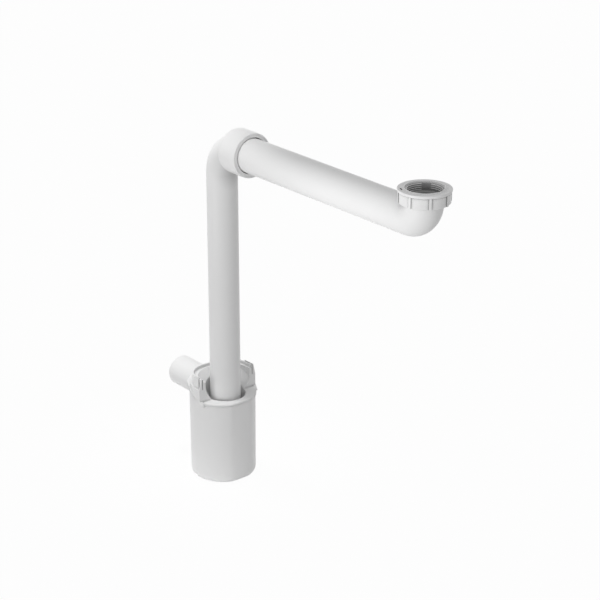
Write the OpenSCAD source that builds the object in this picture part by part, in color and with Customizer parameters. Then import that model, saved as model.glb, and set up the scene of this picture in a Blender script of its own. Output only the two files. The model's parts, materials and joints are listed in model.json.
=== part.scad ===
// Space-saving basin trap: a dip tube hangs in a pot of water, and a long
// horizontal inlet pipe reaches forward to the basin waste.
// The origin is on the outlet spigot's axis where its full width begins, behind the
// bevel of its open end. +X runs from the wall towards the basin waste, and +Z is up.
// Sizes are in millimetres.

/* [Outlet] */
// Outside diameter of the outlet spigot
outlet_od = 40; // [36:0.5:44]
// Wall of the outlet spigot
outlet_wall = 2.6; // [2:0.1:4]
// Full width of the outlet's end to the dip tube's axis
outlet_reach = 100; // [92:0.5:140]
// Lead-in bevel on the outlet's open end
outlet_bevel = 1.5; // [0.5:0.1:2]
// Free length of the outlet up to the collar that stops a push-fit socket
outlet_free = 45; // [40:0.5:45]
// Height of that collar above the outlet's surface
stop_h = 0.6; // [0.4:0.1:0.8]

/* [Pot] */
// Outside diameter of the pot's round back at its rim
pot_od = 87; // [84:0.5:100]
// Wall of the pot
pot_wall = 2.8; // [2:0.1:3.6]
// Front rim of the pot down to its underside
pot_depth = 114; // [100:1:140]
// Radius that the pot's side loses from the rim to the bottom
pot_draft = 0.5; // [0:0.1:2]
// Outside radius of the pot's bottom edge
pot_corner = 9; // [5:0.5:14]
// Distance of the pot's axis behind the dip tube's axis
pot_setback = 6.8; // [5:0.5:8]
// Depth by which the flattened front stands inside the round back
front_flat = 1.7; // [1:0.1:3.6]
// Radius of the flattened front
front_r = 160; // [120:5:260]

/* [Rim] */
// Height of the outlet's axis above the front rim
rim_drop = 1; // [0.5:0.1:6]
// Slope of the rim where it climbs towards the outlet
rim_slope = 28; // [26:0.5:32]
// Height of the level rear rim above the front rim
rear_rise = 15.6; // [13:0.1:16]
// Cover of the rim over the top of the outlet
saddle_w = 1.2; // [1:0.1:1.3]
// Distance that the level front rim reaches in front of the dip tube's axis
rim_fold = 5; // [3:0.5:8]
// Width of the rim's flange outside the pot
flange_w = 2.4; // [2:0.1:4]
// Width of that flange in front of the rim's fold
front_w = 1.2; // [1:0.1:2.4]
// Thickness of the pot's flange
flange_t = 1.4; // [1.2:0.1:3]
// Step at the edges of the flanges that makes them look like a bead
bead = 0.5; // [0.3:0.1:0.8]
// Thickness of the lid's flange
lid_flange_t = 1.8; // [1.6:0.1:3]

/* [Gasket] */
// Width of the lid gasket
gasket_w = 1.6; // [1.2:0.1:1.8]
// Depth of the gasket's groove in the lid
gasket_t = 0.8; // [0.5:0.1:1]

/* [Lid] */
// Wall of the lid between its hopper and the arch over the outlet
lid_wall = 2.6; // [2:0.1:3.2]
// Height of the tray's rim above the outlet's axis
lid_top = 32; // [31:0.5:40]
// Distance of the housing's sides inside the pot's round back
side_inset = 2.7; // [1.5:0.1:3.5]
// Dip tube's axis back to the housing's rear face
housing_back = 37.6; // [37:0.1:39]
// Radius of the housing's rear corners
housing_corner = 30; // [20:1:34]
// Depth of the tray below its rim
tray_depth = 4.2; // [3:0.1:5]
// Width of the tray's raised rim
tray_rim_w = 2; // [1.6:0.1:2.4]
// Height of the ledge at the foot of the housing's sides
ledge_z = 18; // [17.5:0.5:20]
// Radius of that ledge about the dip tube, beyond the pot's own radius
ledge_out = 2.5; // [1.5:0.1:4]
// Depth of the plug that the lid pushes into the pot
plug_depth = 7; // [5:0.5:9]
// Thickness of that plug
plug_t = 1.8; // [1.4:0.1:2.4]
// Play between the plug and the pot
plug_gap = 0.3; // [0.2:0.05:0.5]

/* [Hopper round the dip tube] */
// Radius of the hopper's upright wall about the dip tube
hopper_r = 36; // [35:0.5:37]
// Height at which that wall ends above the hopper's floor
hopper_h = 14; // [12:0.5:16]
// Radius of the hopper at the knee of its sloping part
knee_r = 34; // [32:0.5:34.5]
// Height of that knee above the hopper's floor
knee_h = 7.5; // [6:0.5:9]

/* [Side latches] */
// Distance of a latch's face outside the housing's side
latch_out = 1.8; // [1.4:0.1:2.2]
// Thickness of a latch
latch_t = 1.4; // [1.2:0.1:1.5]
// Gap between a latch and the housing's side
latch_gap = 1.2; // [1:0.1:1.4]
// Length of a latch behind the dip tube's axis
latch_back = 12; // [10:0.5:14]
// Height of a latch above the tray's rim
latch_rise = 0.6; // [0.4:0.1:2]
// Thickness of the web that props a latch at its front
web_t = 1.5; // [1.2:0.1:2]
// Distance from the dip tube's axis forward to the slot in a latch
slot_fwd = -1; // [-1:0.1:0.6]
// Width of that slot
slot_w = 2; // [1.6:0.1:2.4]
// Depth by which the slot is let into the housing's side
pocket_d = 1.4; // [1:0.1:1.6]
// Diameter of the round eye at the foot of the slot
eye_d = 3.6; // [3:0.1:4]

/* [Hooks under the rim] */
// Length of each hook forward of the rim's fold
hook_len = 5.5; // [4:0.5:8]
// Height of a hook's back above the rim
hook_top = 3.2; // [2.5:0.1:4]
// Depth of a hook's foot below the rim
hook_foot = 3.6; // [3:0.1:6]
// Height of the hook's blunt front end
hook_nose = 1.4; // [1:0.1:2]
// Play between a hook and the pot's flange
hook_gap = 0.25; // [0.15:0.05:0.4]

/* [Well of the dip tube] */
// Bore of the well round the dip tube
well_d = 53; // [51:0.5:54]
// Wall of the well
well_wall = 2.4; // [2:0.1:3]
// Outlet's axis down to the underside of the well
well_depth = 44; // [38:1:52]
// Thickness of the shoulder that the seal rests on
shoulder_t = 3; // [2:0.5:4]
// Height of the dip tube's seal
dip_seal_h = 10; // [8:0.5:12]
// Height of the ring that holds the seal down
dip_ring_h = 3.5; // [2.5:0.5:5]

/* [Dip tube] */
// Outside diameter of the dip tube
dip_od = 40; // [38:0.5:42]
// Wall of the dip tube
dip_wall = 2; // [1.6:0.1:3]
// Outlet's axis down to the dip tube's open end
dip_tail = 88; // [76:1:90]
// Outlet's axis up to the inlet pipe's axis
rise = 342; // [240:1:420]
// Bend radius of the elbow's centre line
elbow_r = 36; // [30:1:37]

/* [Socket] */
// Outside diameter of the socket
socket_od = 57; // [55:0.5:62]
// Dip tube's axis to the socket's mouth
socket_reach = 63; // [62:1:76]
// Gap round the inlet pipe in the socket's mouth
mouth_gap = 1; // [0.6:0.1:1.4]
// Length of the socket's full width
socket_len = 29; // [27:0.5:31]
// Length of the shoulder that widens the elbow into the socket
shoulder_len = 8; // [6:0.5:9]
// Height of the inlet pipe's seal along its axis
pipe_seal_h = 9; // [7:0.5:10]
// Outside diameter of that seal
pipe_seal_od = 52; // [50:0.5:53]
// Length of the ring that holds the seal in
mouth_ring_h = 4.5; // [3:0.5:6]
// Rounding of the socket's outer edge
socket_edge = 1; // [0.8:0.1:2]

/* [Inlet pipe] */
// Outside diameter of the inlet pipe
pipe_od = 44; // [42:0.5:46]
// Wall of the inlet pipe
pipe_wall = 2.2; // [1.6:0.1:3]
// Dip tube's axis to the basin waste's axis
reach = 374.4; // [250:1:450]
// Length of pipe inside the socket's guide and seal
insert_len = 19; // [18:0.5:19]
// Bend radius of the end elbow's centre line
end_bend_r = 23; // [22.5:0.5:23.5]
// Pipe's axis up to the collar's underside
neck_h = 24.6; // [24:0.1:30]
// Thickness of the neck's collar
collar_t = 2.4; // [1.8:0.1:3]
// Width of the collar outside the neck
collar_w = 2; // [1.4:0.1:2.4]

/* [Union nut] */
// Outside diameter of the nut between its ribs
nut_od = 59; // [57:0.2:64]
// Outside radius of the inch and a quarter thread in the nut
thread_r = 20.95; // [20.5:0.05:21.2]
// Length of the thread
thread_len = 10.2; // [8:0.5:12]
// Thickness of the nut's lower lip
lip_t = 1.8; // [1.4:0.1:2.4]
// Thickness of the rubber washer
washer_t = 2; // [1.5:0.1:3]
// Diameter of the nut's flange above the ribs
flange_od = 61.8; // [60.4:0.2:66]
// Thickness of that flange
flange_h = 3.2; // [2:0.1:4]
// Number of grip ribs
rib_count = 8; // [6:1:12]
// Width of a grip rib
rib_w = 3.2; // [2:0.1:4]
// Turn of the first grip rib about the nut's axis
rib_turn = 14.5; // [0:0.5:45]
// Height of a grip rib above the nut's side
rib_h = 0.9; // [0.4:0.1:1.4]
// Height of the crown round the nut's mouth above the top face
crown_h = 1; // [0.6:0.1:1.6]
// Outer radius of that crown
crown_r = 25; // [24.6:0.1:26]
// Turn about the nut's axis of the small recess in its top face
mark_turn = 240; // [0:5:355]
// Width of that recess along the radius
mark_w = 1.4; // [0.8:0.1:1.6]
// Length of that recess
mark_len = 6.5; // [4:0.5:8]

/* [Fits] */
// Running clearance on radius between a seal and the pipe that slides in it
slide_gap = 0.05; // [0.02:0.01:0.1]
// Clearance on radius between hard plastic parts that slide
free_gap = 0.4; // [0.3:0.05:0.6]
// Clearance on radius round a seal seated in its recess
seat_gap = 0.02; // [0.01:0.01:0.05]

/* [Hidden] */
$fn = 96;
eps = 0.01;
far = 400;

plastic = "whitesmoke";
rubber = [0.12, 0.12, 0.13];

outlet_r = outlet_od / 2;
dip_r = dip_od / 2;
pipe_r = pipe_od / 2;
pot_r = pot_od / 2;
well_r = well_d / 2;
socket_r = socket_od / 2;
nut_r = nut_od / 2;
flange_r = flange_od / 2;

tube_x = outlet_reach;
pot_x = tube_x - pot_setback;
nut_x = tube_x + reach;

rim_z = -rim_drop;
fold_x = tube_x + rim_fold;
rear_fold_x = fold_x - rear_rise / tan(rim_slope);
saddle_r = outlet_r + saddle_w;
saddle_x = tube_x - hopper_r - lid_wall;
pot_bottom = rim_z - pot_depth;
flat_x = pot_x + pot_r - front_flat - front_r;

housing_x0 = tube_x - housing_back;
housing_half_w = pot_r - side_inset;
ledge_r = pot_r + ledge_out;
latch_half_w = housing_half_w + latch_out;
tray_z = lid_top - tray_depth;
flange_top = rim_z + lid_flange_t;

well_floor = -well_depth;
seal_z = well_floor + shoulder_t;
ring_z = seal_z + dip_seal_h;

socket_x = tube_x + socket_reach;
mouth_ring_x = socket_x - mouth_ring_h;
pipe_seal_x = mouth_ring_x - pipe_seal_h;
guide_x = tube_x + elbow_r + 1;
pipe_seal_r = pipe_seal_od / 2;
pipe_x = pipe_seal_x + pipe_seal_h + mouth_ring_h - insert_len;

nut_z = rise + neck_h - lip_t;
collar_top = rise + neck_h + collar_t;
thread_z = collar_top + washer_t;
nut_top = thread_z + thread_len;
collar_r = pipe_r + collar_w;

// Points of a round arc, from angle a to angle b in n steps
function arc(cx, cy, r, a, b, n) =
    [for (i = [0:n]) let (t = a + (b - a) * i / n) [cx + r * cos(t), cy + r * sin(t)]];

// The pot's outline seen from above, grown by an offset
module pot_outline(grow) {
    intersection() {
        translate([pot_x, 0]) circle(r = pot_r + grow);
        translate([flat_x, 0]) circle(r = front_r + grow);
    }
}

// Half section of the pot's space about one of its two upright axes
module pot_section(r, bottom, corner) {
    polygon(concat(
        [[0, far / 2], [0, bottom]],
        arc(r - pot_draft - corner, bottom + corner, corner, -90, 0, 8),
        [[r, rim_z], [r, far / 2]]
    ));
}

// The pot's space inside a wall: round behind and flattened in front
module pot_space(wall) {
    intersection() {
        translate([pot_x, 0, 0])
            rotate_extrude() pot_section(pot_r - wall, pot_bottom + wall, pot_corner - wall);
        translate([flat_x, 0, 0])
            rotate_extrude() pot_section(front_r - wall, pot_bottom + wall, pot_corner - wall);
    }
}

// Everything below an outline drawn in the XZ plane, right across the trap
module below(points) {
    translate([0, far / 2, 0]) rotate([90, 0, 0]) linear_extrude(height = far)
        polygon(concat([[-far / 4, -far / 2], [far, -far / 2]], points));
}

// Everything below the rim raised by an offset: level in front, sloping, level behind, and
// arched over the outlet
module below_rim(offset) {
    z0 = rim_z + offset;
    below([[far, z0], [fold_x, z0], [rear_fold_x, z0 + rear_rise], [-far / 4, z0 + rear_rise]]);
    translate([-far / 4, 0, 0]) rotate([0, 90, 0]) cylinder(r = saddle_r + offset, h = far / 4 + saddle_x);
}

// Everything below the rim's slope raised by an offset, with the slope carried on behind
module below_slope(offset) {
    z0 = rim_z + offset;
    below([[far, z0], [fold_x, z0], [-far / 4, z0 + (fold_x + far / 4) * tan(rim_slope)]]);
}

// A slab that follows the rim, between two heights above it
module rim_band(low, high) {
    difference() {
        below_rim(high);
        below_rim(low);
    }
}

// An upright prism over a plan drawn as the children
module prism(low, high) {
    translate([0, 0, low]) linear_extrude(height = high - low) children();
}

// A ring between two radii about an upright axis
module ring_z(x, low, high, outer, inner) {
    translate([x, 0, low]) difference() {
        cylinder(r = outer, h = high - low);
        translate([0, 0, -1]) cylinder(r = inner, h = high - low + 2);
    }
}

// A ring between two radii about the inlet pipe's axis
module ring_x(low, high, outer, inner) {
    translate([low, 0, rise]) rotate([0, 90, 0]) difference() {
        cylinder(r = outer, h = high - low);
        translate([0, 0, -1]) cylinder(r = inner, h = high - low + 2);
    }
}

// The outline of the lid's housing from above: round at the rear corners and square in front
module housing_outline(inset) {
    x0 = housing_x0 + inset;
    hw = housing_half_w - inset;
    r = housing_corner - inset;
    translate([x0 + r, -hw]) square([fold_x - x0 - r, 2 * hw]);
    translate([x0, r - hw]) square([r + 1, 2 * (hw - r)]);
    for (s = [-1, 1]) translate([x0 + r, s * (hw - r)]) circle(r = r);
}

// The part of a plan that lies behind the fold of the rim
module behind_fold() {
    intersection() {
        children();
        translate([fold_x - far, -far / 2]) square([far, far]);
    }
}

// One slice across an upright cylinder round the dip tube, cut parallel to the rim's slope
module hopper_slice(r, height) {
    difference() {
        prism(-far / 4, far / 2) behind_fold() translate([tube_x, 0]) circle(r = r, $fn = 64);
        below_slope(height);
        difference() {
            translate([-far, -far, -far]) cube(2 * far);
            below_slope(height + eps);
        }
    }
}

// The hollow round the dip tube, whose floor follows the rim's slope
module hopper() {
    hull() {
        hopper_slice(well_r, lid_flange_t);
        hopper_slice(knee_r, lid_flange_t + knee_h);
    }
    hull() {
        hopper_slice(knee_r, lid_flange_t + knee_h);
        hopper_slice(hopper_r, lid_flange_t + hopper_h);
    }
    difference() {
        translate([tube_x, 0, rim_z]) cylinder(r = hopper_r, h = far / 2);
        below_slope(lid_flange_t + hopper_h);
    }
}

// The flange's outline: full width behind the rim's fold and narrower in front of it
module flange_outline(inset) {
    pot_outline(front_w - inset);
    behind_fold() pot_outline(flange_w - inset);
}

// The rim's flange, a little narrower at its edges so that it looks like a bead
module flange(low, high, step_low, step_high) {
    intersection() {
        prism(rim_z - far / 8, far / 8) flange_outline(0);
        rim_band(low + step_low, high - step_high);
    }
    intersection() {
        prism(rim_z - far / 8, far / 8) flange_outline(bead);
        rim_band(low, high);
    }
}

module trap_pot() {
    color(plastic) difference() {
        union() {
            intersection() {
                pot_space(0);
                below_rim(0);
            }
            flange(-flange_t, 0, bead, 0);
            rotate([0, 90, 0]) {
                cylinder(r = outlet_r, h = pot_x);
                translate([0, 0, outlet_free]) cylinder(r = outlet_r + stop_h, h = pot_x - outlet_free);
                translate([0, 0, -outlet_bevel])
                    cylinder(r1 = outlet_r - outlet_bevel / 2, r2 = outlet_r, h = outlet_bevel);
            }
        }
        pot_space(pot_wall);
        translate([-far / 4, 0, 0]) rotate([0, 90, 0])
            cylinder(r = outlet_r - outlet_wall, h = far / 4 + pot_x);
    }
}

// Body of the lid above the rim, before its hollows are cut
module lid_blank() {
    difference() {
        union() {
            prism(rim_z, lid_top) behind_fold() housing_outline(0);
            prism(rim_z, ledge_z) behind_fold() translate([tube_x, 0]) circle(r = ledge_r);
        }
        below_rim(0);
    }
    flange(0, lid_flange_t, 0, bead);
}

// The plug that centres the lid in the pot, with a gap for the outlet's bore
module lid_plug() {
    outer = -pot_wall - plug_gap;
    difference() {
        intersection() {
            prism(rim_z - far / 8, far / 8) difference() {
                pot_outline(outer);
                pot_outline(outer - plug_t);
            }
            rim_band(-plug_depth, lid_flange_t / 2);
        }
        rotate([0, 90, 0]) cylinder(r = outlet_r - outlet_wall + 1, h = pot_x);
    }
}

// The tube that guides the dip tube and holds its seal
module well_tube() {
    intersection() {
        translate([tube_x, 0, well_floor]) cylinder(r = well_r + well_wall, h = tray_z - well_floor);
        below_slope(lid_flange_t);
    }
}

// An upright outline in the YZ plane, drawn out along the trap from a place x
module along(x, length) {
    translate([x, 0, 0]) rotate([90, 0, 90]) linear_extrude(height = length) children();
}

// One latch on the +Y side: a plate on the ledge, propped by a web at its front
module latch() {
    inner = latch_half_w - latch_t;
    foot = ledge_z - 2;
    top = lid_top + latch_rise;
    front_foot = sqrt(ledge_r * ledge_r - rim_fold * rim_fold);
    along(tube_x - latch_back, latch_back + rim_fold)
        polygon([[inner, foot], [latch_half_w, foot], [latch_half_w, top], [inner, top]]);
    along(fold_x - web_t, web_t) polygon([
        [inner, foot], [front_foot, foot], [front_foot, ledge_z],
        [latch_half_w, lid_top], [inner, lid_top]
    ]);
}

// What is cut from the +Y side of the lid round a latch: the gap behind it and its slot
module latch_cut() {
    inner = latch_half_w - latch_t;
    along(tube_x - latch_back, far / 2)
        polygon([[inner - latch_gap, ledge_z], [inner, ledge_z], [inner, far], [inner - latch_gap, far]]);
    translate([tube_x + slot_fwd, inner - latch_gap, ledge_z + eye_d / 2]) {
        cube([slot_w, far / 4, far]);
        translate([0, -pocket_d, 0]) cube([slot_w, far / 4, tray_z - ledge_z - eye_d]);
        translate([eye_d / 2, -pocket_d, 0]) rotate([-90, 0, 0]) cylinder(d = eye_d, h = far / 4);
    }
}

// One hook on the +Y side, which carries the lid's skirt forward and under the pot's flange
module hook() {
    low = rim_z - hook_foot;
    end_x = fold_x + hook_len;
    under = rim_z - flange_t - hook_gap;
    intersection() {
        difference() {
            prism(low, rim_z + hook_top) translate([tube_x, 0]) circle(r = ledge_r);
            prism(low - 1, under) pot_outline(hook_gap);
            prism(under, rim_z) pot_outline(front_w + hook_gap);
            prism(rim_z, far) pot_outline(0);
        }
        translate([0, far / 2, 0]) rotate([90, 0, 0]) linear_extrude(height = far / 2) polygon([
            [fold_x - eps, low], [end_x, low], [end_x, low + hook_nose],
            [fold_x + 1, rim_z + hook_top], [fold_x - eps, rim_z + hook_top]
        ]);
    }
}

module trap_lid() {
    color(plastic) {
        difference() {
            union() {
                lid_blank();
                lid_plug();
                well_tube();
                for (side = [0, 1]) mirror([0, side, 0]) latch();
            }
            hopper();
            prism(tray_z, far / 4) housing_outline(tray_rim_w);
            translate([tube_x, 0, seal_z]) cylinder(r = well_r, h = far / 2);
            translate([tube_x, 0, well_floor - 1]) cylinder(r = dip_r + free_gap, h = far / 2);
            for (side = [0, 1]) mirror([0, side, 0]) latch_cut();
            lid_gasket_space(0);
        }
        for (side = [0, 1]) mirror([0, side, 0]) hook();
    }
}

// The gasket's groove in the underside of the lid's flange
module lid_gasket_space(play) {
    mid = -pot_wall / 2;
    intersection() {
        prism(rim_z - far / 8, far / 8) difference() {
            pot_outline(mid + gasket_w / 2 - play);
            pot_outline(mid - gasket_w / 2 + play);
        }
        rim_band(play > 0 ? 0 : -eps, gasket_t - play);
    }
}

module lid_gasket() {
    color(rubber) lid_gasket_space(seat_gap);
}

module dip_seal() {
    lip_r = dip_r + slide_gap;
    seat_r = well_r - seat_gap;
    color(rubber) translate([tube_x, 0, seal_z]) rotate_extrude() polygon([
        [seat_r, 0], [seat_r, dip_seal_h], [lip_r + 3, dip_seal_h], [lip_r + 1, dip_seal_h * 0.75],
        [lip_r + 2.4, dip_seal_h * 0.6], [lip_r, dip_seal_h * 0.35], [lip_r, dip_seal_h * 0.2],
        [lip_r + 1.5, 0]
    ]);
}

module dip_seal_ring() {
    color(plastic) ring_z(tube_x, ring_z, ring_z + dip_ring_h, well_r - seat_gap, dip_r + free_gap);
}

// A quarter bend in the XZ plane, from an upright pipe to a level one, about a given centre
module quarter_bend(x, z, bend_r, r, start) {
    translate([x, 0, z]) rotate([90, 0, 0]) rotate([0, 0, start])
        rotate_extrude(angle = 90) translate([bend_r, 0]) circle(r = r);
}

// Outline of the socket along the inlet pipe's axis, from the elbow to the mouth
module socket_section() {
    x1 = socket_reach - socket_len;
    x0 = x1 - shoulder_len;
    polygon(concat(
        [[0, x0], [dip_r - 1, x0]],
        arc(socket_r - shoulder_len, x1, shoulder_len, -60, 0, 6),
        arc(socket_r - socket_edge, socket_reach - socket_edge, socket_edge, 0, 90, 5),
        [[0, socket_reach]]
    ));
}

module dip_tube() {
    turn_z = rise - elbow_r;
    bore_r = dip_r - dip_wall;
    color(plastic) difference() {
        union() {
            translate([tube_x, 0, -dip_tail]) cylinder(r = dip_r, h = turn_z + dip_tail);
            quarter_bend(tube_x + elbow_r, turn_z, elbow_r, dip_r, 90);
            translate([tube_x, 0, rise]) rotate([0, 90, 0]) rotate_extrude() socket_section();
        }
        translate([tube_x, 0, -dip_tail - 1]) cylinder(r = bore_r, h = turn_z + dip_tail + 1);
        quarter_bend(tube_x + elbow_r, turn_z, elbow_r, bore_r, 90);
        translate([tube_x + elbow_r, 0, rise]) rotate([0, 90, 0]) cylinder(r = bore_r, h = socket_reach);
        translate([guide_x, 0, rise]) rotate([0, 90, 0]) cylinder(r = pipe_r + free_gap, h = socket_reach);
        translate([pipe_seal_x, 0, rise]) rotate([0, 90, 0]) cylinder(r = pipe_seal_r, h = socket_reach);
    }
}

module pipe_seal() {
    lip_r = pipe_r + slide_gap;
    seat_r = pipe_seal_r - seat_gap;
    color(rubber) translate([pipe_seal_x, 0, rise]) rotate([0, 90, 0]) rotate_extrude() polygon([
        [seat_r, 0], [seat_r, pipe_seal_h], [lip_r + 2.4, pipe_seal_h], [lip_r + 0.8, pipe_seal_h * 0.75],
        [lip_r + 1.8, pipe_seal_h * 0.6], [lip_r, pipe_seal_h * 0.35], [lip_r, pipe_seal_h * 0.2],
        [lip_r + 1.2, 0]
    ]);
}

module pipe_seal_ring() {
    color(plastic) ring_x(mouth_ring_x, socket_x, pipe_seal_r - seat_gap, pipe_r + mouth_gap);
}

module inlet_pipe() {
    bend_x = nut_x - end_bend_r;
    bend_z = rise + end_bend_r;
    bore_r = pipe_r - pipe_wall;
    color(plastic) difference() {
        union() {
            translate([pipe_x, 0, rise]) rotate([0, 90, 0]) cylinder(r = pipe_r, h = bend_x - pipe_x);
            quarter_bend(bend_x, bend_z, end_bend_r, pipe_r, -90);
            translate([nut_x, 0, bend_z]) cylinder(r = pipe_r, h = collar_top - bend_z);
            translate([nut_x, 0, rise + neck_h]) cylinder(r = collar_r, h = collar_t);
        }
        translate([pipe_x - 1, 0, rise]) rotate([0, 90, 0]) cylinder(r = bore_r, h = bend_x - pipe_x + 1);
        quarter_bend(bend_x, bend_z, end_bend_r, bore_r, -90);
        translate([nut_x, 0, bend_z]) cylinder(r = bore_r, h = far);
    }
}

module nut_washer() {
    color(rubber) ring_z(nut_x, collar_top, thread_z, collar_r, pipe_r - pipe_wall);
}

module union_nut() {
    bevel = 0.8;
    step = (flange_r - nut_r) / 2;
    crown_mid = (thread_r + crown_r) / 2;
    color(plastic) difference() {
        union() {
            translate([nut_x, 0, 0]) rotate_extrude() polygon(concat(
                [[pipe_r + free_gap, nut_z], [nut_r - bevel, nut_z], [nut_r, nut_z + bevel],
                 [nut_r, nut_top - flange_h - step], [flange_r - 0.3, nut_top - flange_h]],
                arc(flange_r - bevel, nut_top - bevel, bevel, 0, 90, 5),
                [[crown_r, nut_top]],
                arc(crown_mid, nut_top, crown_h, 40, 140, 6),
                [[thread_r, nut_top - bevel], [thread_r, thread_z], [collar_r + free_gap, thread_z],
                 [collar_r + free_gap, nut_z + lip_t], [pipe_r + free_gap, nut_z + lip_t]]
            ));
            for (i = [0:rib_count - 1])
                translate([nut_x, 0, nut_z + bevel / 2]) rotate([0, 0, rib_turn + i * 360 / rib_count])
                    translate([nut_r - 2, -rib_w / 2, 0])
                        cube([2 + rib_h, rib_w, nut_top - nut_z - flange_h]);
        }
        translate([nut_x, 0, nut_top - mark_w]) rotate([0, 0, mark_turn])
            translate([crown_r + 1, -mark_len / 2, 0]) cube([mark_w, mark_len, 2 * mark_w]);
    }
}

trap_pot();
trap_lid();
lid_gasket();
dip_seal();
dip_seal_ring();
dip_tube();
pipe_seal();
pipe_seal_ring();
inlet_pipe();
nut_washer();
union_nut();
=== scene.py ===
"""Looks of the basin trap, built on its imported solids.

The solids get their finishes: satin white moulded plastic, black sealing rubber and a pale washer.
Modifiers round their edges, so their own meshes stay as packed. The thread inside the union nut and
the gate mark on the inlet pipe are pieces of their own. A white studio with a floor, lamps and the
photograph's camera stands round them. Lengths are in metres unless a name says otherwise.
"""

from __future__ import annotations

import json
import logging
import math
from dataclasses import dataclass
from enum import Enum
from typing import Any, ClassVar

import bpy
from mathutils import Matrix, Vector


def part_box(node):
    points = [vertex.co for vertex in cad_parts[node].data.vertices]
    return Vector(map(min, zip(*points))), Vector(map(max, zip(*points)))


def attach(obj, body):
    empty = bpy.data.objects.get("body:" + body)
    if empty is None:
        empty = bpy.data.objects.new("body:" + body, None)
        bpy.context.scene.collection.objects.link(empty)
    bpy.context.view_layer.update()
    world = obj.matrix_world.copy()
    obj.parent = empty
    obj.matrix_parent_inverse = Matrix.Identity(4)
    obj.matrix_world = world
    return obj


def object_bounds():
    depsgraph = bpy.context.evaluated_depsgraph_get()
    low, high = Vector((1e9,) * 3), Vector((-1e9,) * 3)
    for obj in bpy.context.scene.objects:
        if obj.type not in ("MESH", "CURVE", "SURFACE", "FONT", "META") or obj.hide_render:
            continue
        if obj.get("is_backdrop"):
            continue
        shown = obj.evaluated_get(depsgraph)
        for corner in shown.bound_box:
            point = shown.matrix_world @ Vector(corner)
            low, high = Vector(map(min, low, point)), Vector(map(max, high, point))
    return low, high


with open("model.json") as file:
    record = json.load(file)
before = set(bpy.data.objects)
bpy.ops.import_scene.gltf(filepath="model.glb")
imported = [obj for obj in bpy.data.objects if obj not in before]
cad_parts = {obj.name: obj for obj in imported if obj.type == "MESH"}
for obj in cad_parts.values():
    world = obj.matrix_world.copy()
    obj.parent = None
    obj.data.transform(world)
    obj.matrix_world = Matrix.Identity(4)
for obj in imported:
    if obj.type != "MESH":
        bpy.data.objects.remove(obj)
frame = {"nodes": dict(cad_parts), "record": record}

LOG = logging.getLogger("basin_trap")
MM = 0.001
NOISE_MIDDLE = 0.5
FULL_TURN = 2.0 * math.pi

Number = float | int
Link = bpy.types.NodeSocket


class Lamp(Enum):
    """Kinds of lamp that the studio uses."""

    SPOT = "SPOT"
    SUN = "SUN"


class Slot(Enum):
    """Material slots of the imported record."""

    WHITE_PLASTIC = "white_plastic"
    SEAL_RUBBER = "seal_rubber"
    WASHER_PLASTIC = "washer_plastic"


class EvenBy(Enum):
    """What the faces at a corner are weighed by when its shading is evened out."""

    AREA_AND_ANGLE = "FACE_AREA_WITH_ANGLE"
    ANGLE = "CORNER_ANGLE"


class Wire:
    """A number that varies over a surface, so that shader maths reads as an expression."""

    def __init__(self, bench: Bench, socket: Link) -> None:
        """Keeps the socket that carries the number, and the bench it belongs to."""
        self.bench = bench
        self.socket = socket

    def _math(self, operation: str, first: Wire | Number, second: Wire | Number) -> Wire:
        """Adds one Math node.

        Args:
            operation: Name of the Math node's operation.
            first: Left operand.
            second: Right operand.

        Returns:
            The node's result.
        """
        node = self.bench.add("ShaderNodeMath", {"operation": operation}, {0: first, 1: second})
        return Wire(self.bench, node.outputs[0])

    def __add__(self, other: Wire | Number) -> Wire:
        """Sum of two numbers."""
        return self._math("ADD", self, other)

    def __radd__(self, other: Number) -> Wire:
        """Sum with the plain number on the left."""
        return self._math("ADD", other, self)

    def __sub__(self, other: Wire | Number) -> Wire:
        """Difference of two numbers."""
        return self._math("SUBTRACT", self, other)

    def __rsub__(self, other: Number) -> Wire:
        """Difference with the plain number on the left."""
        return self._math("SUBTRACT", other, self)

    def __mul__(self, other: Wire | Number) -> Wire:
        """Product of two numbers."""
        return self._math("MULTIPLY", self, other)

    def __rmul__(self, other: Number) -> Wire:
        """Product with the plain number on the left."""
        return self._math("MULTIPLY", other, self)

    def __pow__(self, other: Wire | Number) -> Wire:
        """The number raised to a power."""
        return self._math("POWER", self, other)

    def __rpow__(self, other: Number) -> Wire:
        """A plain number raised to this one."""
        return self._math("POWER", other, self)

    def at_least(self, other: Wire | Number) -> Wire:
        """The larger of two numbers."""
        return self._math("MAXIMUM", self, other)


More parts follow.
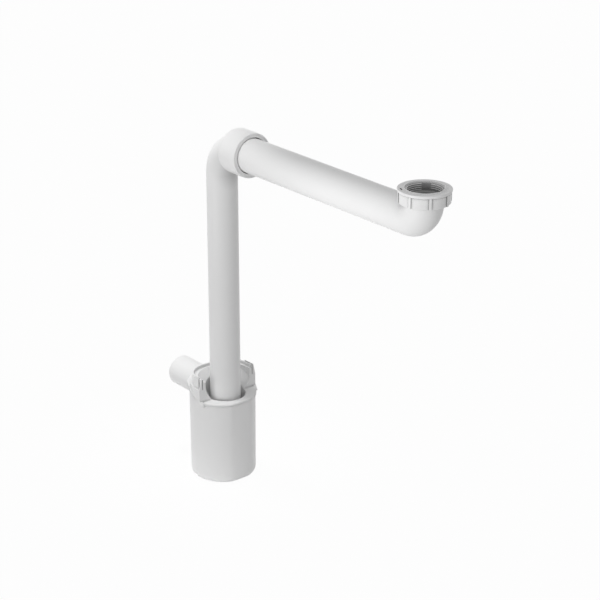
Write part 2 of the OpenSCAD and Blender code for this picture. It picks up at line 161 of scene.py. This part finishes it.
class Bench:
    """A material's or the world's node tree, with short ways to add and join nodes."""

    def __init__(self, tree: bpy.types.NodeTree) -> None:
        """Clears a node tree and keeps it."""
        self.tree = tree
        self.tree.nodes.clear()

    def add(self, kind: str, settings: dict[str, Any], sockets: dict[Any, Any]) -> bpy.types.Node:
        """Adds any node.

        Args:
            kind: The node's type name.
            settings: Properties of the node, set before its sockets.
            sockets: Values, wires or links for its inputs, by name or number.

        Returns:
            The new node.
        """
        node = self.tree.nodes.new(kind)
        for name, value in settings.items():
            setattr(node, name, value)
        for name, value in sockets.items():
            self.join(value, node.inputs[name])
        return node

    def join(self, value: Any, target: Link) -> None:
        """Links a wire or an output to an input, or sets a plain value on it.

        Args:
            value: A Wire, an output socket or a plain value.
            target: The input socket.
        """
        if isinstance(value, Wire):
            self.tree.links.new(value.socket, target)
        elif isinstance(value, bpy.types.NodeSocket):
            self.tree.links.new(value, target)
        else:
            target.default_value = value

    def noise(self, spread: float, detail: float = 2.0) -> Wire:
        """Even noise over the surface, in the object's own coordinates.

        Args:
            spread: Size of one blotch of the noise, in metres.
            detail: How many finer layers are added.

        Returns:
            The noise, from 0 to 1 round its middle, NOISE_MIDDLE.
        """
        place = self.add("ShaderNodeTexCoord", {}, {})
        sockets = {"Vector": place.outputs["Object"], "Scale": 1.0 / spread, "Detail": detail}
        node = self.add("ShaderNodeTexNoise", {}, sockets)
        return Wire(self, node.outputs["Fac"])

    def openness(self, reach: float) -> Wire:
        """How open the surface is, seen within its own piece. The whites paint shade into their
        colour from it.

        Args:
            reach: Distance within which walls count, in metres.

        Returns:
            One on an open face, and less in a hollow.
        """
        settings = {"only_local": True, "samples": 8}
        node = self.add("ShaderNodeAmbientOcclusion", settings, {"Distance": reach})
        return Wire(self, node.outputs["AO"])

    def grey(self, level: Wire, blue_cast: float = 1.0) -> Link:
        """A colour that is grey or nearly so.

        Args:
            level: How light it is.
            blue_cast: Its blue as a share of that level.

        Returns:
            The colour.
        """
        sockets = {"Red": level, "Green": level, "Blue": level * blue_cast}
        return self.add("ShaderNodeCombineColor", {}, sockets).outputs["Color"]

    def bump(self, height: Wire, depth: float) -> Link:
        """Fine relief.

        Args:
            height: Relief from 0 to 1.
            depth: Its depth in metres.

        Returns:
            The normal that the relief gives.
        """
        node = self.add("ShaderNodeBump", {}, {"Height": height, "Distance": depth})
        return node.outputs["Normal"]


def plain_grey(tone: float) -> tuple[float, float, float, float]:
    """An opaque grey for a socket, from its linear tone."""
    return (tone, tone, tone, 1.0)


def new_material(name: str) -> bpy.types.Material:
    """Makes an empty material that uses nodes.

    Args:
        name: The material's name.

    Returns:
        The new material.
    """
    made = bpy.data.materials.new(name)
    made.use_nodes = True
    return made


def finish_surface(bench: Bench, surface: dict[str, Any]) -> None:
    """Adds the surface shader and the material's output.

    Args:
        bench: The material's bench.
        surface: Values and links for the shader's inputs.
    """
    shader = bench.add("ShaderNodeBsdfPrincipled", {}, surface)
    bench.add("ShaderNodeOutputMaterial", {}, {"Surface": shader.outputs[0]})


@dataclass(frozen=True)
class MouldedWhite:
    """Satin white moulded plastic with faint flow unevenness. It can carry shade painted into its
    colour in hollows.
    """

    name: str = "white_moulded_plastic"
    tone: float = 0.88
    mottle: float = 0.012
    roughness: float = 0.36
    gloss_break: float = 0.05
    ior: float = 1.46
    shine: float = 0.28
    flow_spread: float = 0.03
    grain_spread: float = 0.0007
    grain_detail: float = 3.0
    grain_depth: float = 0.000012
    # Painted shade in hollows: how far walls count, the tone of a fully closed-in spot, and how
    # steeply the colour darkens.
    painted_shade_reach: float = 0.0
    painted_shade_tone: float = 1.0
    painted_shade_power: float = 1.0

    def material(self) -> bpy.types.Material:
        """Builds the material.

        Returns:
            The finished material.
        """
        made = new_material(self.name)
        bench = Bench(made.node_tree)
        flow = bench.noise(self.flow_spread)
        grain = bench.noise(self.grain_spread, self.grain_detail)
        level = self.tone + (flow - NOISE_MIDDLE) * self.mottle
        # Painted shade: the colour darkens where the surface is closed in, by ambient occlusion
        # within the piece.
        if self.painted_shade_reach > 0.0:
            painted_shade_mask = bench.openness(self.painted_shade_reach) ** self.painted_shade_power
            level = level * (self.painted_shade_tone + painted_shade_mask * (1.0 - self.painted_shade_tone))
        surface = {
            "Base Color": bench.grey(level),
            "Roughness": self.roughness + (flow - NOISE_MIDDLE) * self.gloss_break,
            "IOR": self.ior,
            "Specular IOR Level": self.shine,
            "Normal": bench.bump(grain, self.grain_depth),
        }
        finish_surface(bench, surface)
        return made


@dataclass(frozen=True)
class TubeWhitePaintedShade(MouldedWhite):
    """The same white, with shade painted dark into its colour down inside the dip tube."""

    name: str = "white_tube_plastic_painted_shade"
    painted_shade_reach: float = 30.0 * MM
    painted_shade_tone: float = 0.08


@dataclass(frozen=True)
class MouthWhitePaintedShade(MouldedWhite):
    """The same white, with shade painted into its colour, darkening steadily down the mouth of the
    nut and pipe.
    """

    name: str = "white_mouth_plastic_painted_shade"
    painted_shade_reach: float = 60.0 * MM
    painted_shade_tone: float = 0.0
    painted_shade_power: float = 2.6


@dataclass(frozen=True)
class LidWhitePaintedShade(MouldedWhite):
    """The same white, with shade painted into its colour in the lid's gaps and slots."""

    name: str = "white_lid_plastic_painted_shade"
    painted_shade_reach: float = 4.0 * MM
    painted_shade_tone: float = 0.45


@dataclass(frozen=True)
class BlackRubber:
    """Matt black sealing rubber."""

    name: str = "black_seal_rubber"
    tone: float = 0.05
    blue_cast: float = 1.1
    roughness: float = 0.62
    ior: float = 1.5
    bloom: float = 0.02
    bloom_spread: float = 0.004
    grain_spread: float = 0.0005
    grain_depth: float = 0.00003

    def material(self) -> bpy.types.Material:
        """Builds the material.

        Returns:
            The finished material.
        """
        made = new_material(self.name)
        bench = Bench(made.node_tree)
        level = self.tone + (bench.noise(self.bloom_spread) - NOISE_MIDDLE) * self.bloom
        surface = {
            "Base Color": bench.grey(level, self.blue_cast),
            "Roughness": self.roughness,
            "IOR": self.ior,
            "Normal": bench.bump(bench.noise(self.grain_spread), self.grain_depth),
        }
        finish_surface(bench, surface)
        return made


@dataclass(frozen=True)
class PaleWasher:
    """Pale soft polyethylene with a waxy, slightly uneven face."""

    name: str = "pale_washer_plastic"
    tone: float = 0.7
    blue_cast: float = 0.985
    roughness: float = 0.5
    gloss_break: float = 0.1
    ior: float = 1.5
    bloom: float = 0.05
    bloom_spread: float = 0.003
    grain_spread: float = 0.0006
    grain_depth: float = 0.00002

    def material(self) -> bpy.types.Material:
        """Builds the material.

        Returns:
            The finished material.
        """
        made = new_material(self.name)
        bench = Bench(made.node_tree)
        bloom = bench.noise(self.bloom_spread)
        level = self.tone + (bloom - NOISE_MIDDLE) * self.bloom
        surface = {
            "Base Color": bench.grey(level, self.blue_cast),
            "Roughness": self.roughness + (bloom - NOISE_MIDDLE) * self.gloss_break,
            "IOR": self.ior,
            "Normal": bench.bump(bench.noise(self.grain_spread), self.grain_depth),
        }
        finish_surface(bench, surface)
        return made


@dataclass
class Finishes:
    """The materials: one for each slot of the record, and the whites with shade painted into their
    colour in hollows.
    """

    by_slot: dict[Slot, bpy.types.Material]
    tube_white_painted_shade: bpy.types.Material
    mouth_white_painted_shade: bpy.types.Material
    lid_white_painted_shade: bpy.types.Material

    @classmethod
    def make(cls) -> Finishes:
        """Builds every material.

        Returns:
            The finishes, ready to dress with.
        """
        by_slot = {
            Slot.WHITE_PLASTIC: MouldedWhite().material(),
            Slot.SEAL_RUBBER: BlackRubber().material(),
            Slot.WASHER_PLASTIC: PaleWasher().material(),
        }
        # The whites with shade painted into their colour in hollows.
        painted_shade_whites = (TubeWhitePaintedShade(), MouthWhitePaintedShade(), LidWhitePaintedShade())
        return cls(by_slot, *(white.material() for white in painted_shade_whites))

    def of(self, slot: Slot) -> bpy.types.Material:
        """The material that a slot stands for."""
        return self.by_slot[slot]


@dataclass(frozen=True)
class SoftEdges:
    """Small radii that a mould leaves on every outer edge.

    Crisp edges take their shading from the faces beside them. The others have it evened out.
    """

    radius: float = 0.45 * MM
    segments: int = 3
    sharper_than_degrees: float = 32.0
    join_distance: float = 0.01 * MM
    even_by: EvenBy = EvenBy.AREA_AND_ANGLE
    even_weight: int = 60
    crisp: bool = False

    def round_off(self, piece: bpy.types.Object) -> None:
        """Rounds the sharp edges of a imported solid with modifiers.

        Args:
            piece: The solid's object.
        """
        join = piece.modifiers.new("join_corners", "WELD")
        join.merge_threshold = self.join_distance
        soft = piece.modifiers.new("soft_edges", "BEVEL")
        soft.width = self.radius
        soft.segments = self.segments
        soft.limit_method = "ANGLE"
        soft.angle_limit = math.radians(self.sharper_than_degrees)
        soft.use_clamp_overlap = False
        soft.loop_slide = False
        if self.crisp:
            soft.harden_normals = True
            return
        shading = piece.modifiers.new("even_shading", "WEIGHTED_NORMAL")
        shading.mode = self.even_by.value
        shading.weight = self.even_weight


def row_named(rows: list[dict[str, Any]], name: str) -> dict[str, Any]:
    """The row of one of the record's lists that has a given name."""
    return next(row for row in rows if row["name"] == name)


def slot_of(node: str) -> Slot:
    """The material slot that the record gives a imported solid."""
    return Slot(next(r["material_slot"] for r in frame["record"]["subparts"] if r["node"] == node))


def dress(
    node: str,
    finishes: Finishes,
    edges: SoftEdges = SoftEdges(),
    painted_shade_finish: bpy.types.Material | None = None,
) -> None:
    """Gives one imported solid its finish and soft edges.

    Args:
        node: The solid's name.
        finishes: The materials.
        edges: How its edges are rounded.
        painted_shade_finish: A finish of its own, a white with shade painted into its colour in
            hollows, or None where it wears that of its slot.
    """
    piece = frame["nodes"][node]
    slot = slot_of(node)
    piece.data.materials.clear()
    piece.data.materials.append(painted_shade_finish or finishes.of(slot))
    edges.round_off(piece)
    LOG.info("%s dressed as %s", node, slot.value)


def add_piece(
    name: str,
    points: list[Vector],
    faces: list[tuple[int, ...]],
    body: str,
    slot: Slot,
    finishes: Finishes,
    smooth_degrees: float,
) -> None:
    """Adds one new piece to the object.

    Args:
        name: The piece's name.
        points: Corners of its mesh.
        faces: Faces as tuples of corner numbers.
        body: The body that it rides on.
        slot: The material slot that it takes its finish from.
        finishes: The materials.
        smooth_degrees: Edges sharper than this stay sharp.
    """
    mesh = bpy.data.meshes.new(name)
    mesh.from_pydata([tuple(p) for p in points], [], faces)
    mesh.validate()
    mesh.shade_smooth()
    mesh.set_sharp_from_angle(angle=math.radians(smooth_degrees))
    piece = bpy.data.objects.new(name, mesh)
    bpy.context.scene.collection.objects.link(piece)
    mesh.materials.append(finishes.of(slot))
    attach(piece, body)
    LOG.info("%s added with %d faces", name, len(faces))


@dataclass
class Housing:
    """The pot, its clipped lid and what seals the lid and the dip tube."""

    seals: ClassVar[tuple[str, ...]] = ("lid_gasket", "dip_seal_ring", "dip_seal")
    pot_edges: SoftEdges = SoftEdges(even_by=EvenBy.ANGLE)
    lid_edges: SoftEdges = SoftEdges(radius=0.15 * MM, segments=2, join_distance=0.05 * MM)

    def build(self, finishes: Finishes) -> None:
        """Dresses every piece of the housing.

        Args:
            finishes: The materials.
        """
        dress("trap_pot", finishes, self.pot_edges)
        # The lid wears a white with shade painted into its gaps and slots.
        dress("trap_lid", finishes, self.lid_edges, finishes.lid_white_painted_shade)
        for node in self.seals:
            dress(node, finishes)


@dataclass
class Riser:
    """The dip tube with its elbow and socket, and the socket's seal and ring."""

    seals: ClassVar[tuple[str, ...]] = ("pipe_seal", "pipe_seal_ring")

    def build(self, finishes: Finishes) -> None:
        """Dresses every piece of the riser.

        Args:
            finishes: The materials.
        """
        # The dip tube wears a white with shade painted dark down inside it.
        dress("dip_tube", finishes, painted_shade_finish=finishes.tube_white_painted_shade)
        for node in self.seals:
            dress(node, finishes)


@dataclass
class InletPipe:
    """The long inlet pipe, the washer on its collar and the mark of its moulding gate."""

    washer_edges: SoftEdges = SoftEdges(radius=0.2 * MM)
    gate_from_end: float = 51.4 * MM
    gate_up_degrees: float = 3.0
    gate_radius: float = 1.3 * MM
    gate_taper: float = 0.8
    gate_height: float = 0.18 * MM
    gate_sides: int = 24
    gate_sunk: float = 0.1 * MM
    gate_smooth_degrees: float = 40.0

    def build(self, finishes: Finishes) -> None:
        """Dresses the pipe and washer and adds the gate mark.

        Args:
            finishes: The materials.
        """
        # The pipe wears a white with shade painted down its mouth.
        dress("inlet_pipe", finishes, painted_shade_finish=finishes.mouth_white_painted_shade)
        dress("nut_washer", finishes, self.washer_edges)
        self.gate_mark(finishes)

    def gate_mark(self, finishes: Finishes) -> None:
        """Adds the low disc left by the moulding gate, seated in the pipe's side.

        Args:
            finishes: The materials.
        """
        low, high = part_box("inlet_pipe")
        axis_z = row_named(frame["record"]["behaviour"]["joints"], "pipe_swivel")["pos_m"][2]
        radius = axis_z - low.z
        lean = math.radians(self.gate_up_degrees)
        out = Vector((0.0, -math.cos(lean), math.sin(lean)))
        across = Vector((0.0, math.sin(lean), math.cos(lean)))
        seat = Vector((high.x - self.gate_from_end, 0.0, axis_z))
        foot = seat + out * (radius - self.gate_sunk)
        rings = (
            (self.gate_radius, 0.0),
            (self.gate_radius, self.gate_sunk),
            (self.gate_radius * self.gate_taper, self.gate_sunk + self.gate_height),
        )
        count = self.gate_sides
        points: list[Vector] = []
        for reach, height in rings:
            for step in range(count):
                turn = FULL_TURN * step / count
                side = Vector((math.cos(turn), 0.0, 0.0)) + across * math.sin(turn)
                points.append(foot + side * reach + out * height)
        faces = [tuple(range(count)), tuple(range(3 * count - 1, 2 * count - 1, -1))]
        for ring in range(2):
            for step in range(count):
                a = ring * count + step
                b = ring * count + (step + 1) % count
                faces.append((a, a + count, b + count, b))
        smooth = self.gate_smooth_degrees
        add_piece("gate_mark", points, faces, "inlet", Slot.WHITE_PLASTIC, finishes, smooth)


@dataclass
class UnionNut:
    """The union nut and the inch and a quarter thread inside it."""

    corners: ClassVar[int] = 4
    edges: SoftEdges = SoftEdges(
        radius=0.2 * MM, segments=2, sharper_than_degrees=24.0, crisp=True
    )
    pitch: float = 25.4 / 11.0 * MM
    depth: float = 0.8 * MM
    crest_width: float = 0.32 * MM
    root_width: float = 0.85 * MM
    sunk: float = 0.12 * MM
    turns_clear: float = 0.35
    gap_middle_degrees: float = 133.0
    gap_width: float = 9.0 * MM
    steps: int = 96
    smooth_degrees: float = 25.0

    def build(self, finishes: Finishes) -> None:
        """Dresses the nut and adds its thread.

        Args:
            finishes: The materials.
        """
        # The nut wears a white with shade painted down its mouth.
        dress("union_nut", finishes, self.edges, finishes.mouth_white_painted_shade)
        self.thread(finishes)

    def section(self, turn: float, height: float, centre: Vector, bore: float) -> list[Vector]:
        """One cross section of the thread's ridge.

        Args:
            turn: Angle about the nut's axis, in radians.
            height: Height of the ridge's middle there.
            centre: A point on the nut's axis.
            bore: Radius of the nut's bore.

        Returns:
            Its corners, from the lower root round the crest to the upper root.
        """
        out = Vector((math.cos(turn), math.sin(turn), 0.0))
        root = bore + self.sunk
        crest = bore - self.depth
        outline = (
            (root, -self.root_width / 2),
            (crest, -self.crest_width / 2),
            (crest, self.crest_width / 2),
            (root, self.root_width / 2),
        )
        foot = Vector((centre.x, centre.y, 0.0))
        return [foot + out * reach + Vector((0.0, 0.0, height + up)) for reach, up in outline]

    def thread(self, finishes: Finishes) -> None:
        """Adds the helical ridges, broken by the plain band that the mould leaves.

        Args:
            finishes: The materials.
        """
        mount = row_named(frame["record"]["mounts"], "inlet")
        centre = Vector(mount["pos_m"])
        bore = mount["dims"]["r_mm"] * MM
        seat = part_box("nut_washer")[1].z
        low = seat + self.root_width / 2 + self.turns_clear * self.pitch
        high = seat + mount["dims"]["length_mm"] * MM - self.root_width / 2
        step = FULL_TURN / self.steps
        half_gap = self.gap_width / bore / 2
        middle = math.radians(self.gap_middle_degrees)
        points: list[Vector] = []
        faces: list[tuple[int, ...]] = []
        open_run = 0
        for index in range(int((high - low) / self.pitch * self.steps) + 1):
            turn = middle + index * step
            away = abs((turn - middle + math.pi) % FULL_TURN - math.pi)
            if away < half_gap:
                self.end_run(faces, len(points), open_run)
                open_run = 0
                continue
            height = low + index * step / FULL_TURN * self.pitch
            points += self.section(turn, height, centre, bore)
            open_run += 1
            if open_run > 1:
                self.join_sections(faces, len(points))
            else:
                first = len(points) - self.corners
                faces.append(tuple(range(first, first + self.corners)))
        self.end_run(faces, len(points), open_run)
        smooth = self.smooth_degrees
        add_piece("nut_thread", points, faces, "nut", Slot.WHITE_PLASTIC, finishes, smooth)

    def join_sections(self, faces: list[tuple[int, ...]], count: int) -> None:
        """Joins the last two cross sections with faces.

        Args:
            faces: Faces so far.
            count: Number of points so far.
        """
        old, new = count - 2 * self.corners, count - self.corners
        for corner in range(self.corners):
            after = (corner + 1) % self.corners
            faces.append((old + corner, new + corner, new + after, old + after))

    def end_run(self, faces: list[tuple[int, ...]], count: int, run: int) -> None:
        """Caps the end of a stretch of ridge, where there is one.

        Args:
            faces: Faces so far.
            count: Number of points so far.
            run: Number of cross sections in the stretch.
        """
        if run > 0:
            faces.append(tuple(range(count - 1, count - 1 - self.corners, -1)))


@dataclass(frozen=True)
class LampPlan:
    """One lamp: its kind, where it is, where it points and how strong it is.

    The cone is a spot's cone, or the part of the sky that a sun fills.
    """

    name: str
    kind: Lamp
    place: tuple[float, float, float]
    aim: tuple[float, float, float]
    power: float
    cone_degrees: float
    size: float = 0.0
    cone_blend: float = 0.5

    def build(self) -> None:
        """Adds the lamp to the scene."""
        data = bpy.data.lights.new(self.name, self.kind.value)
        data.energy = self.power
        if self.kind is Lamp.SPOT:
            data.shadow_soft_size = self.size / 2
            data.spot_size = math.radians(self.cone_degrees)
            data.spot_blend = self.cone_blend
        else:
            data.angle = math.radians(self.cone_degrees)
        lamp = bpy.data.objects.new(self.name, data)
        lamp.location = self.place
        lamp.rotation_mode = "QUATERNION"
        way = Vector(self.aim) - Vector(self.place)
        lamp.rotation_quaternion = way.to_track_quat("-Z", "Y")
        bpy.context.scene.collection.objects.link(lamp)
        lamp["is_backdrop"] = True
        LOG.info("lamp %s set", self.name)


@dataclass
class Studio:
    """A white floor, a white surround, one broad lamp, and spots on the tube and inlet pipe."""

    lamps: ClassVar[tuple[LampPlan, ...]] = (
        LampPlan("key_lamp", Lamp.SUN, (0.6, -2.9, 0.3), (0.0, 0.0, 0.3), 1.28, 30.0),
        LampPlan("head_lamp", Lamp.SPOT, (0.0, -0.15, 2.2), (0.03, 0.0, 0.3), 84.0, 9.5, 0.2),
        LampPlan("pipe_lamp", Lamp.SPOT, (0.34, -1.4, -0.02), (0.37, 0.0, 0.34), 30.0, 17.5, 0.3),
    )
    surround: float = 0.52
    overhead: float = 0.45
    floor_half: float = 12.0
    floor_tone: float = 0.9
    floor_white: float = 0.97
    floor_gap: float = 0.0002

    def build(self) -> None:
        """Builds the surround, the floor and the lamps."""
        self.light_surround()
        self.lay_floor()
        for lamp in self.lamps:
            lamp.build()

    @staticmethod
    def seen_directly(bench: Bench) -> Wire:
        """Tells the rays that show the ground from those that light the object.

        Args:
            bench: The bench of the floor's material or of the world.

        Returns:
            One where a ray comes from the camera, a reflection or clear matter, and otherwise 0.
        """
        path = bench.add("ShaderNodeLightPath", {}, {})
        kinds = ("Camera", "Glossy", "Transmission")
        rays = [Wire(bench, path.outputs[f"Is {kind} Ray"]) for kind in kinds]
        return rays[0].at_least(rays[1]).at_least(rays[2])

    def light_surround(self) -> None:
        """Sets the world: white where it is seen. Its light is a little weaker from above."""
        world = bpy.data.worlds.new("white_surround")
        bpy.context.scene.world = world
        world.use_nodes = True
        bench = Bench(world.node_tree)
        seen = self.seen_directly(bench)
        place = bench.add("ShaderNodeTexCoord", {}, {})
        split = bench.add("ShaderNodeSeparateXYZ", {}, {0: place.outputs["Generated"]})
        upward = Wire(bench, split.outputs["Z"]).at_least(0.0)
        light_level = self.surround + upward * (self.overhead - self.surround)
        strength = light_level + seen * (1.0 - light_level)
        sockets = {"Color": plain_grey(1.0), "Strength": strength}
        light = bench.add("ShaderNodeBackground", {}, sockets)
        bench.add("ShaderNodeOutputWorld", {}, {"Surface": light.outputs[0]})

    def lay_floor(self) -> None:
        """Lays the floor just under the pot. It looks white and keeps a faint shadow."""
        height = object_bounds()[0].z - self.floor_gap
        half = self.floor_half
        spots = ((-half, -half), (half, -half), (half, half), (-half, half))
        corners = [(x, y, height) for x, y in spots]
        mesh = bpy.data.meshes.new("floor")
        mesh.from_pydata(corners, [], [(0, 1, 2, 3)])
        mesh.materials.append(self.floor_material())
        floor = bpy.data.objects.new("floor", mesh)
        bpy.context.scene.collection.objects.link(floor)
        floor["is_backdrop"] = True
        LOG.info("floor laid at %.4f m", height)

    def floor_material(self) -> bpy.types.Material:
        """Builds the floor's white.

        Returns:
            The finished material.
        """
        made = new_material("white_floor")
        bench = Bench(made.node_tree)
        matt = bench.add("ShaderNodeBsdfDiffuse", {}, {"Color": plain_grey(self.floor_tone)})
        glow = bench.add("ShaderNodeEmission", {}, {"Color": plain_grey(1.0), "Strength": 1.0})
        share = self.seen_directly(bench) * self.floor_white
        sockets = {0: share, 1: matt.outputs[0], 2: glow.outputs[0]}
        mixed = bench.add("ShaderNodeMixShader", {}, sockets)
        bench.add("ShaderNodeOutputMaterial", {}, {"Surface": mixed.outputs[0]})
        return made


@dataclass(frozen=True)
class PhotoView:
    """The camera at the photograph's angle, placed by where one point of the trap is seen."""

    azimuth: float = 51.092
    elevation: float = 21.743
    depth: float = 2.3414
    focal_px: float = 1873.0
    frame_px: float = 600.0
    sensor_mm: float = 36.0
    seen_px: tuple[float, float] = (221.577, 144.53)
    seen_point: tuple[float, float, float] = (0.1, 0.0, 0.3416)
    nearest: float = 0.05
    farthest: float = 50.0

    def build(self) -> None:
        """Adds the camera and makes it the scene's own."""
        turn = math.radians(self.azimuth)
        lift = math.radians(self.elevation)
        level = math.cos(lift)
        back = Vector((math.sin(turn) * level, -math.cos(turn) * level, math.sin(lift)))
        right = Vector((math.cos(turn), math.sin(turn), 0.0))
        up = back.cross(right)
        metres_per_px = self.depth / self.focal_px
        aside = (self.frame_px / 2 - self.seen_px[0]) * metres_per_px
        above = (self.frame_px / 2 - self.seen_px[1]) * metres_per_px
        place = Vector(self.seen_point) + back * self.depth + right * aside - up * above
        data = bpy.data.cameras.new("photo_view")
        data.sensor_width = self.sensor_mm
        data.lens = self.focal_px / self.frame_px * self.sensor_mm
        data.clip_start = self.nearest
        data.clip_end = self.farthest
        camera = bpy.data.objects.new("photo_view", data)
        axes = Matrix((right, up, back)).transposed()
        camera.matrix_world = Matrix.Translation(place) @ axes.to_4x4()
        bpy.context.scene.collection.objects.link(camera)
        bpy.context.scene.camera = camera
        LOG.info("camera set")


def main() -> None:
    """Builds the dressed trap and its studio."""
    logging.basicConfig(level=logging.INFO, format="%(name)s: %(message)s")
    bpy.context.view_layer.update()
    bpy.context.scene.view_settings.view_transform = "Standard"
    finishes = Finishes.make()
    for part in (Housing(), Riser(), InletPipe(), UnionNut()):
        part.build(finishes)
    Studio().build()
    PhotoView().build()


if __name__ == "__main__":
    main()
